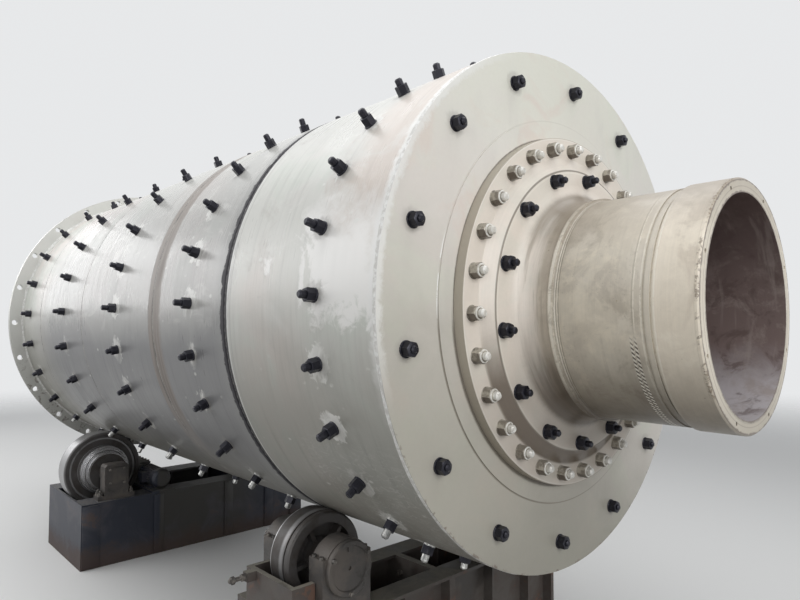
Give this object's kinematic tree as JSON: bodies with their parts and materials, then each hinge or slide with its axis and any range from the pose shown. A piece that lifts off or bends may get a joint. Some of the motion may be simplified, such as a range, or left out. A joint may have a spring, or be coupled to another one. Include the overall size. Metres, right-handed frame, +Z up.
{
  "type": "ball mill drum on turning rolls",
  "caption": "Flanged cylindrical grinding mill drum with hollow trunnions, lying on idler and driven turning rolls.",
  "frame": {"origin": "on the floor, straight below the middle of the drum", "axes": "+X along the drum axis towards the feed trunnion, +Z up, the open side of the picture is at -Y"},
  "size_m": [6.032, 2.3478, 2.9738],
  "materials": {
    "shell_paint": "brushed grey-white primer with streaks",
    "head_paint": "warm white primer, brushed",
    "trunnion_paint": "thin grey-beige primer on machined casting",
    "stand_paint": "old paint with rust and oil",
    "drive_paint": "dark blue-grey machine paint, dusty",
    "bearing_iron": "dark cast iron, oily",
    "roll_steel": "worn bright tread on dark casting"
  },
  "bodies": {
    "stand": {"idler_frame_left": "stand_paint", "idler_frame_right": "stand_paint", "idler_end_plate_left": "stand_paint", "idler_end_plate_right": "stand_paint", "idler_block_left_front": "bearing_iron", "idler_block_left_rear": "bearing_iron", "idler_block_right_front": "bearing_iron", "idler_block_right_rear": "bearing_iron", "idler_cover_left_front": "bearing_iron", "idler_cover_left_rear": "bearing_iron", "idler_cover_right_front": "bearing_iron", "idler_cover_right_rear": "bearing_iron", "drive_girder_front": "drive_paint", "drive_girder_rear": "drive_paint", "drive_end_plate_left": "drive_paint", "drive_end_plate_right": "drive_paint", "drive_block_left_front": "bearing_iron", "drive_block_left_rear": "bearing_iron", "drive_block_right_front": "bearing_iron", "drive_block_right_rear": "bearing_iron", "drive_bed_plate": "drive_paint", "drive_motor": "drive_paint", "drive_reducer": "drive_paint", "drive_gear_case": "drive_paint"},
    "drum": {"shell_course_1": "shell_paint", "shell_course_2": "shell_paint", "shell_course_3": "shell_paint", "shell_course_4": "shell_paint", "shell_course_5": "shell_paint", "feed_head": "head_paint", "discharge_head": "head_paint", "feed_trunnion": "trunnion_paint", "discharge_trunnion": "trunnion_paint"},
    "idler_roll_left": {"idler_wheel_left": "roll_steel", "idler_axle_left": "roll_steel"},
    "idler_roll_right": {"idler_wheel_right": "roll_steel", "idler_axle_right": "roll_steel"},
    "drive_roll_left": {"drive_wheel_left": "roll_steel", "drive_axle_left": "roll_steel"},
    "drive_roll_right": {"drive_wheel_right": "roll_steel", "drive_axle_right": "roll_steel"}
  },
  "joints": [
    {"name": "drum_spin", "type": "hinge", "parent": "stand", "child": "drum", "pos_m": [0, 0, 1.8], "axis": [1, 0, 0], "continuous": true},
    {"name": "idler_roll_left_spin", "type": "hinge", "parent": "stand", "child": "idler_roll_left", "pos_m": [1.37, -0.63765, 0.69556], "axis": [1, 0, 0], "continuous": true},
    {"name": "idler_roll_right_spin", "type": "hinge", "parent": "stand", "child": "idler_roll_right", "pos_m": [1.37, 0.63765, 0.69556], "axis": [1, 0, 0], "continuous": true},
    {"name": "drive_roll_left_spin", "type": "hinge", "parent": "stand", "child": "drive_roll_left", "pos_m": [-1.48, -0.67765, 0.62628], "axis": [1, 0, 0], "continuous": true},
    {"name": "drive_roll_right_spin", "type": "hinge", "parent": "stand", "child": "drive_roll_right", "pos_m": [-1.48, 0.67765, 0.62628], "axis": [1, 0, 0], "continuous": true}
  ],
  "couplings": [
    {"joint": "idler_roll_left_spin", "follows": "drum_spin", "ratio": -5.375},
    {"joint": "idler_roll_right_spin", "follows": "drum_spin", "ratio": -5.375},
    {"joint": "drive_roll_left_spin", "follows": "drum_spin", "ratio": -3.8393},
    {"joint": "drive_roll_right_spin", "follows": "drum_spin", "ratio": -3.8393}
  ]
}
